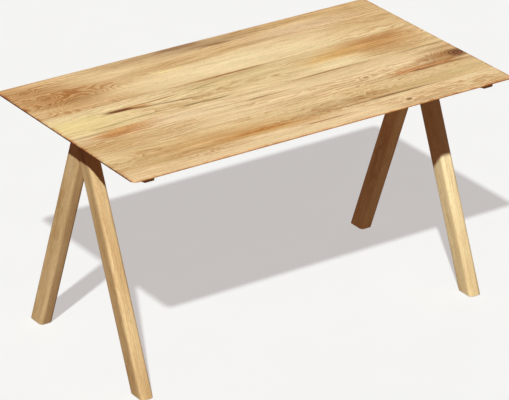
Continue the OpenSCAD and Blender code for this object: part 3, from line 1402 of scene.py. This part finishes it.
WOODS = (
    plank(
        1,
        tone(230, 200, 150),
        tone(216, 181, 130),
        Growth(
            0.21,
            0.035,
            0.07,
            0.013,
            burl=2.2,
            knots=(
                Knot((-0.5, 0.195), 0.03, HEART, 8.0, 0.2, 1.9),
                Knot((-0.59, 0.262), 0.012, HEART, 4.0, 0.4),
                Knot((-0.63, 0.335), 0.01, HEART, 4.0, 0.4),
            ),
        ),
        0.62,
        cloud(-0.56, 0.25, 0.16, 0.14, tone(210, 168, 116), 0.8, calm=-0.2),
        cloud(-0.52, 0.24, 0.1, 0.08, tone(196, 150, 96), 0.75, -20, calm=-0.2),
        cloud(-0.67, 0.385, 0.09, 0.07, tone(200, 152, 100), 0.75),
        patch(-0.38, 0.145, 0.08, 0.026, tone(202, 156, 104), 0.75, -8),
        cloud(-0.37, 0.34, 0.13, 0.05, tone(232, 203, 154), 0.8, calm=0.3),
        cloud(0.06, 0.18, 0.36, 0.06, CREAM, 1.0, calm=0.8),
        streak(0.04, 0.272, 0.2, 0.012, HEART, 0.5, 5),
        streak(0.12, 0.29, 0.08, 0.006, HEART, 0.5, 4),
        cloud(-0.02, 0.375, 0.22, 0.03, GREY, 0.9),
        patch(-0.04, 0.392, 0.07, 0.012, tone(160, 122, 86), 0.8),
        patch(0.06, 0.352, 0.06, 0.01, tone(170, 132, 92), 0.9, -8),
        patch(-0.17, 0.245, 0.06, 0.012, BUTTER, 0.6),
        cloud(0.38, 0.3, 0.18, 0.04, PINK, 0.7, calm=0.3),
        cloud(0.58, 0.24, 0.14, 0.03, TAN, 0.6),
        streak(0.54, 0.265, 0.07, 0.004, HEART, 0.5, 2),
        cloud(0.44, 0.378, 0.26, 0.02, TAN, 0.6),
        patch(0.48, 0.148, 0.2, 0.02, CREAM, 0.75),
    ),
    plank(
        2,
        tone(236, 210, 160),
        tone(222, 194, 146),
        Growth(
            0.03, 0.03, -0.06, 0.01, knots=(Knot((0.09, 0.025), 0.007, AMBER, 1.2, 0.5, 2.2),)
        ),
        0.5,
        cloud(-0.62, 0.045, 0.15, 0.075, BUTTER, 0.85, calm=0.4),
        cloud(-0.45, 0.103, 0.27, 0.024, CREAM, 0.9),
        cloud(-0.26, 0.06, 0.12, 0.018, CREAM, 1.0, -6),
        cloud(-0.02, 0.06, 0.24, 0.06, OLIVE, 0.45),
        patch(-0.395, 0.062, 0.055, 0.013, ORANGE, 0.7, -5),
        streak(-0.452, 0.063, 0.05, 0.009, UMBER, 0.95, -3),
        streak(-0.405, 0.056, 0.045, 0.006, UMBER, 0.6, -9),
        streak(-0.325, 0.07, 0.075, 0.0038, BROWN, 0.9, 1),
        streak(-0.265, 0.032, 0.095, 0.0045, UMBER, 0.7, -7),
        streak(-0.21, -0.02, 0.09, 0.007, MOSS, 0.8, -5),
        streak(-0.45, -0.01, 0.14, 0.004, MOSS, 0.5, 4),
        streak(-0.15, 0.08, 0.05, 0.003, MOSS, 0.7, 6),
        streak(-0.14, 0.07, 0.05, 0.003, MOSS, 0.6, -8),
        cloud(0.36, 0.055, 0.12, 0.035, tone(226, 180, 104), 0.8, 8),
        cloud(0.51, 0.07, 0.14, 0.06, tone(205, 156, 98), 0.95, 0, 0.04),
        patch(0.53, 0.095, 0.11, 0.024, tone(190, 138, 82), 0.6, 0, 0.07),
        patch(0.47, 0.045, 0.07, 0.022, tone(200, 152, 94), 0.55, 30, 0.06),
        cloud(0.3, -0.002, 0.11, 0.024, CREAM, 0.95, 6, calm=0.8),
        cloud(0.6, -0.015, 0.16, 0.03, TAN, 0.5),
        seam(-0.045, 0.119, 0.15, 0.005, BROWN, 0.9),
        seam(0.24, -0.041, 0.11, 0.005, BROWN, 0.85),
        seam(0.62, -0.04, 0.08, 0.004, MOSS, 0.6),
    ),
    plank(
        3,
        tone(238, 210, 164),
        tone(222, 192, 144),
        Growth(
            -0.13,
            0.03,
            0.05,
            0.009,
            knots=(
                Knot((0.668, -0.142), 0.024, tone(126, 74, 50), 8.0, 0.95, 1.5),
                Knot((0.31, -0.146), 0.005, BROWN, 1.2, 0.6, 2.0),
            ),
        ),
        0.6,
        cloud(-0.62, -0.15, 0.15, 0.04, tone(206, 168, 112), 0.85),
        patch(-0.5, -0.073, 0.11, 0.034, tone(212, 156, 96), 0.9, 0, 0.11),
        patch(-0.55, -0.095, 0.06, 0.014, AMBER, 0.5, 4),
        cloud(-0.31, -0.085, 0.12, 0.026, PINK, 0.8),
        cloud(-0.08, -0.085, 0.26, 0.03, CREAM, 0.6),
        streak(-0.09, -0.088, 0.14, 0.0026, BROWN, 0.55, -1),
        streak(-0.05, -0.09, 0.035, 0.003, UMBER, 0.5, 2),
        cloud(0.615, -0.142, 0.09, 0.055, tone(178, 132, 82), 0.85, 20, calm=-0.6),
        streak(0.615, -0.168, 0.05, 0.008, BROWN, 0.7, 28),
        streak(0.63, -0.12, 0.04, 0.006, BROWN, 0.6, 30),
        patch(0.45, -0.176, 0.06, 0.015, tone(208, 150, 96), 0.85, 0, 0.06),
        patch(0.54, -0.178, 0.06, 0.011, tone(204, 144, 88), 0.7, 4, 0.05),
        streak(0.51, -0.188, 0.05, 0.005, UMBER, 0.75),
        streak(0.615, -0.188, 0.03, 0.004, UMBER, 0.6),
        seam(-0.62, -0.05, 0.07, 0.008, MOSS, 0.4),
        seam(0.62, -0.191, 0.07, 0.005, BROWN, 0.8),
    ),
    plank(
        4,
        tone(230, 199, 148),
        tone(214, 181, 130),
        Growth(-0.25, 0.028, -0.05, 0.008, ripple=0.018, burl=4.5),
        0.62,
        streak(-0.6, -0.196, 0.12, 0.005, CREAM, 0.8, 2),
        cloud(-0.54, -0.25, 0.14, 0.045, TAN, 0.6),
        cloud(-0.3, -0.27, 0.17, 0.036, tone(208, 160, 100), 0.75),
        patch(-0.19, -0.29, 0.13, 0.012, tone(204, 148, 84), 0.9),
        cloud(0.13, -0.262, 0.12, 0.03, GREY, 0.3, calm=-0.6),
        cloud(-0.02, -0.215, 0.2, 0.02, CREAM, 0.5),
        seam(0.33, -0.298, 0.13, 0.005, UMBER, 0.8),
        cloud(0.54, -0.265, 0.18, 0.025, OLIVE, 0.7, calm=0.4),
        cloud(0.4, -0.222, 0.26, 0.024, CREAM, 0.75),
        cloud(-0.66, -0.26, 0.06, 0.03, CREAM, 0.5),
    ),
    plank(
        5,
        tone(236, 206, 160),
        tone(223, 190, 142),
        Growth(
            -0.355,
            0.03,
            0.03,
            0.01,
            burl=3.5,
            knots=(Knot((0.324, -0.357), 0.0055, UMBER, 1.5, 0.9, 2.0),),
        ),
        0.6,
        cloud(-0.55, -0.325, 0.2, 0.02, TAN, 0.9),
        cloud(-0.17, -0.31, 0.2, 0.018, tone(206, 156, 90), 1.0),
        patch(-0.18, -0.306, 0.07, 0.008, tone(190, 124, 58), 0.8),
        patch(0.4, -0.314, 0.32, 0.01, CREAM, 0.95),
        streak(0.03, -0.346, 0.1, 0.0035, BROWN, 0.9),
        patch(0.46, -0.355, 0.05, 0.008, ORANGE, 0.35),
        cloud(0.54, -0.365, 0.1, 0.02, CREAM, 0.7),
        cloud(0.64, -0.37, 0.1, 0.03, TAN, 0.5),
        cloud(-0.15, -0.38, 0.25, 0.012, CREAM, 0.5),
        cloud(-0.6, -0.375, 0.12, 0.016, tone(218, 180, 128), 0.5),
    ),
)


def stick(name: str, seed: float, pale: Colour, deep: Colour, *marks: Mark) -> Timber:
    """A straight-grained stick of wood.

    Args:
        name: The material's name.
        seed: Which stick it is.
        pale: Its paler colour.
        deep: Its deeper colour.
        marks: Its patches and streaks.

    Returns:
        The wood.
    """
    straight = Growth(0.10, 0.07, 0.0, 0.008, 0.02, 0.008)
    calm = {"ring_strength": 0.34, "band_strength": 0.70, "line_strength": 0.40}
    return Timber(name, seed, pale, deep, straight, marks=marks, **calm)


LEG_WOODS = {
    (Side.LEFT, Face.REAR): stick(
        "leg_wood_left_rear",
        3.3,
        tone(228, 195, 142),
        tone(206, 168, 114),
        cloud(0.08, 0.0, 0.12, 0.05, BROWN, 0.35),
    ),
    (Side.LEFT, Face.FRONT): stick(
        "leg_wood_left_front",
        4.1,
        tone(226, 195, 143),
        tone(206, 168, 117),
        cloud(0.62, 0.0, 0.16, 0.05, HEART, 0.4),
    ),
    # Paler than the other legs: painted light that stands in for light bounced onto this leg, which
    # stands in the top's shadow.
    (Side.RIGHT, Face.REAR): stick(
        "leg_wood_right_rear", 5.7, tone(250, 224, 170), tone(232, 194, 134)
    ),
    (Side.RIGHT, Face.FRONT): stick(
        "leg_wood_right_front",
        6.4,
        tone(238, 213, 163),
        tone(217, 187, 135),
        cloud(0.46, 0.0, 0.16, 0.06, TAN, 0.5),
    ),
}
RAIL_WOODS = {
    Side.LEFT: stick("rail_wood_left", 1.6, tone(214, 178, 124), tone(194, 152, 100)),
    Side.RIGHT: stick("rail_wood_right", 2.4, tone(216, 182, 130), tone(196, 156, 104)),
}
DOWEL_WOOD = stick("dowel_beech", 9.0, tone(226, 194, 146), tone(208, 170, 122))
SMALL_PARTS = {
    "rail_screws": Metal("black_screw", tone(40, 40, 42), tone(66, 62, 58), 0.38, 0.7),
    "washers": Metal("zinc", tone(176, 178, 176), tone(140, 142, 142), 0.34),
    "threaded_inserts": Metal("brass", tone(206, 170, 96), tone(168, 132, 70), 0.3),
    "glide_nails": Metal("nail_steel", tone(168, 168, 166), tone(120, 118, 116), 0.4),
    "glide": Plastic("glide_nylon", tone(66, 52, 42), tone(110, 96, 84)),
}


def dress_cad_nodes(frame: dict) -> None:
    """Gives the frame's own small pieces their finishes.

    Args:
        frame: The loaded frame.
    """
    finishes = {ending: finish.material() for ending, finish in SMALL_PARTS.items()}
    plain = Edges(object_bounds(), rim_share=0.0)
    finishes["mitre_dowels"] = DOWEL_WOOD.material(ACROSS, ALONG, 0.0, plain)
    for name, node in frame["nodes"].items():
        for ending, material in finishes.items():
            if name.endswith(ending):
                node.data.materials.clear()
                node.data.materials.append(material)


def main() -> None:
    """Builds the table around the frame."""
    logging.basicConfig(level=logging.INFO, format="%(name)s: %(message)s")
    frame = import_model()
    Studio().build()
    TableTop(WOODS).build()
    for side in Side:
        Trestle(side).build()
    dress_cad_nodes(frame)


if __name__ == "__main__":
    main()
